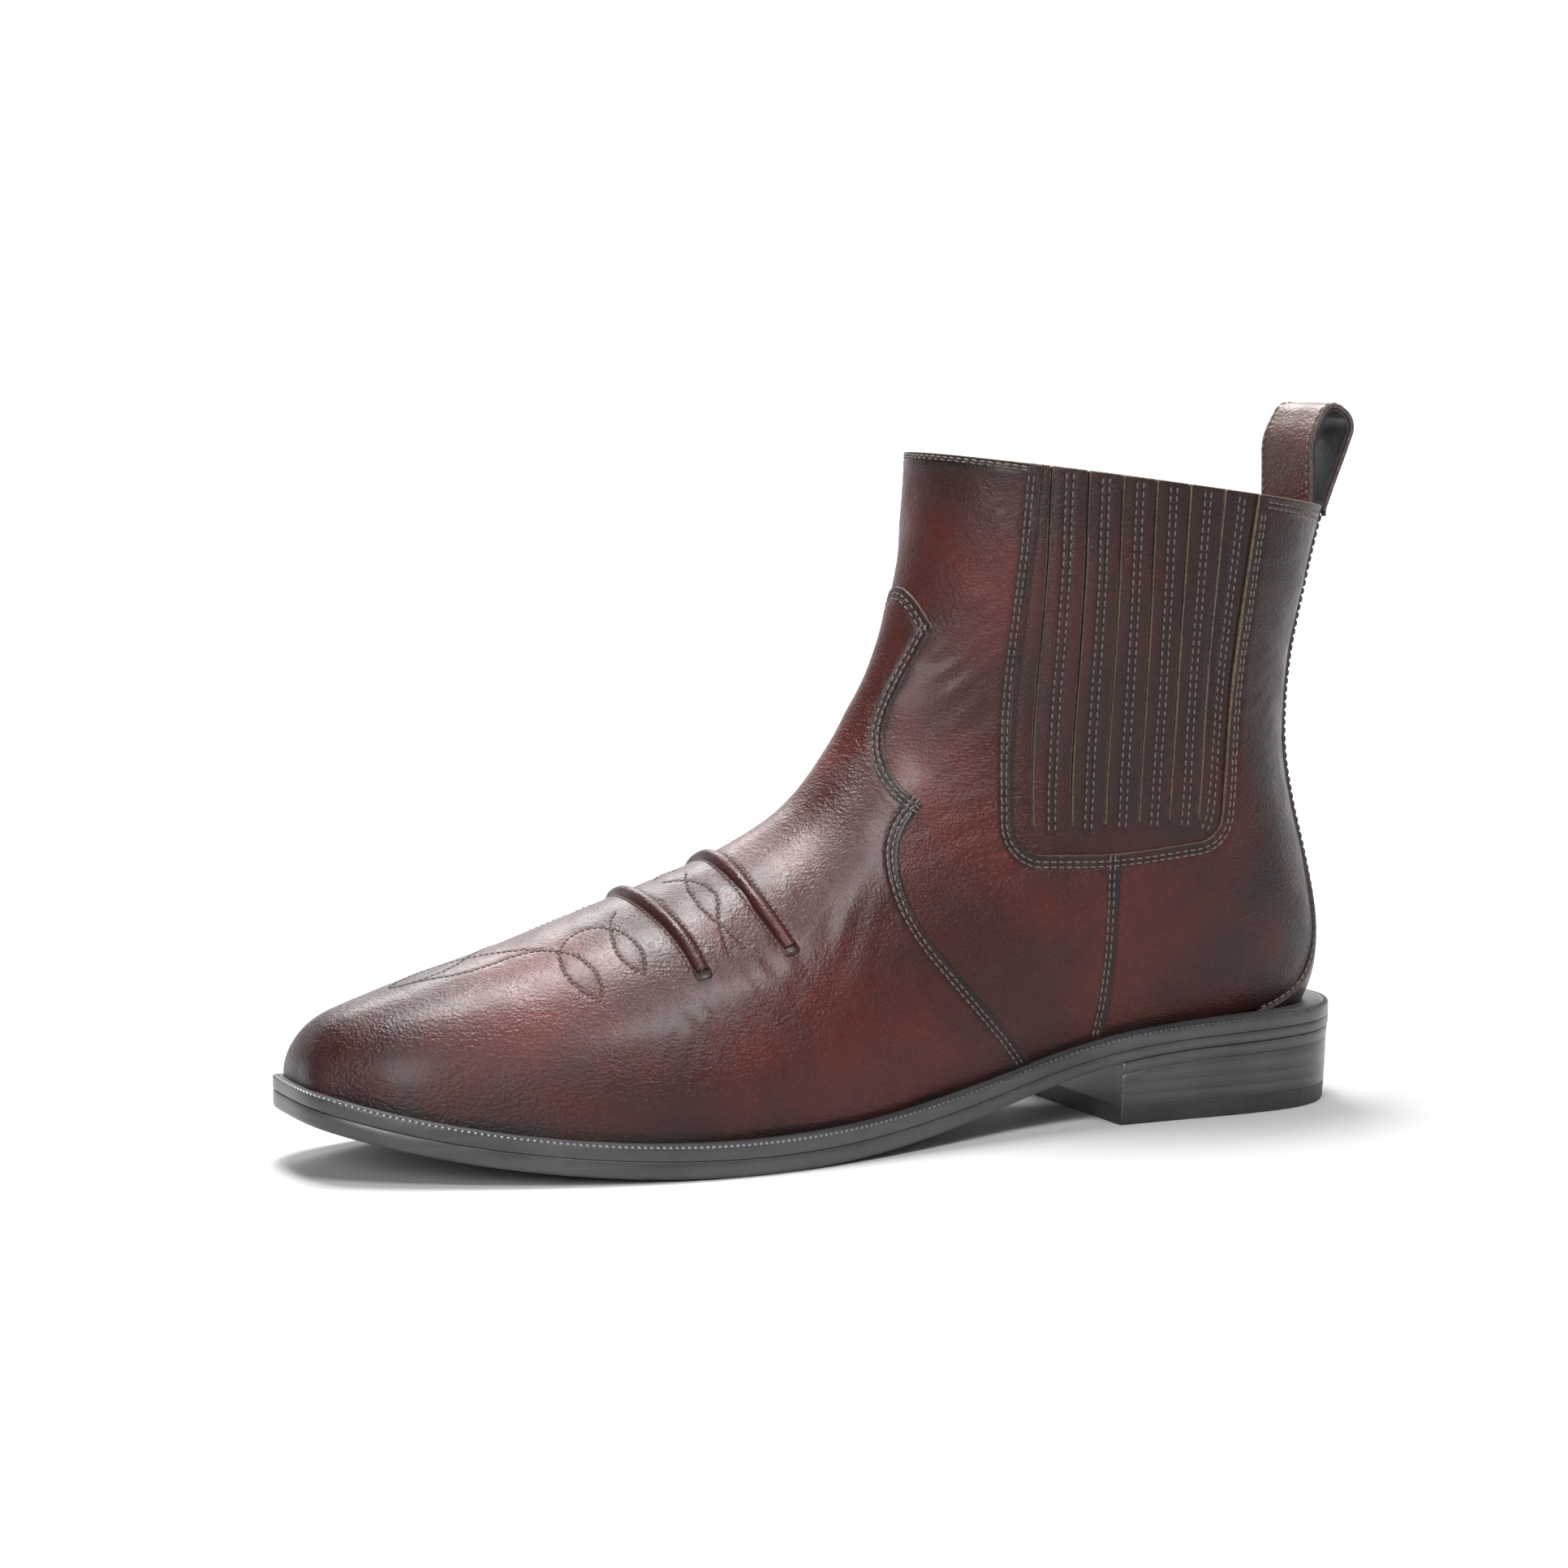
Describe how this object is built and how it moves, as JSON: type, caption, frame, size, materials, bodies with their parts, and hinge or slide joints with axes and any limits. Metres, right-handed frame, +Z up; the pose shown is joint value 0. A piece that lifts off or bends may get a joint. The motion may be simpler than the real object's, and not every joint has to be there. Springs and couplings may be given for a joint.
{
  "type": "western ankle boot",
  "caption": "Left western ankle boot: lasted leather upper with slit-covered elastic gores, corded toe ridges, welted sole, stacked low heel and a folding pull loop.",
  "frame": {"origin": "on the floor under the middle of the boot's bounding box", "axes": "+X to the toe, +Y to the wearer's left, which is this left boot's outer side, +Z up"},
  "size_m": [0.308, 0.1007, 0.1948],
  "materials": {
    "upper_leather": "burnished semi-gloss",
    "lining_leather": "matte",
    "sole_leather": "waxed black edge",
    "heel_rubber": "satin",
    "elastic_web": "ribbed",
    "loop_webbing": "textured",
    "backing_cloth": "plain weave",
    "cotton_cord": "twisted",
    "stiffener_board": "pressed fibre",
    "foam": "open cell",
    "cork": "granular",
    "shank_steel": "rolled",
    "nail_steel": "drawn"
  },
  "bodies": {
    "upper_and_sole": {"vamp": "upper_leather", "back_strap": "upper_leather", "shaft_front_panel": "upper_leather", "outer_quarter": "upper_leather", "inner_quarter": "upper_leather", "vamp_doubler": "backing_cloth", "front_ridge_cord": "cotton_cord", "rear_ridge_cord": "cotton_cord", "front_toe_ridge": "upper_leather", "rear_toe_ridge": "upper_leather", "outer_gore_cover": "upper_leather", "inner_gore_cover": "upper_leather", "outer_gore_elastic": "elastic_web", "inner_gore_elastic": "elastic_web", "toe_puff": "stiffener_board", "heel_counter": "stiffener_board", "pull_loop_tail": "upper_leather", "topline_tape": "backing_cloth", "upper_backing": "backing_cloth", "vamp_lining": "lining_leather", "shaft_lining": "lining_leather", "insole_board": "stiffener_board", "heel_pad": "foam", "sock_liner": "lining_leather", "steel_shank": "shank_steel", "bottom_filler": "cork", "welt": "sole_leather", "outsole": "sole_leather", "heel_seat_lift": "sole_leather", "heel_block": "sole_leather", "heel_top_lift": "heel_rubber", "heel_nails": "nail_steel"},
    "pull_loop": {"pull_loop_leather": "upper_leather", "pull_loop_lining": "loop_webbing"}
  },
  "joints": [
    {"name": "pull_loop_fold", "type": "hinge", "parent": "upper_and_sole", "child": "pull_loop", "pos_m": [-0.143, 0, 0.17], "axis": [0, 1, 0], "range_deg": [-35, 40], "stiffness_Nm_per_rad": 0.03}
  ]
}
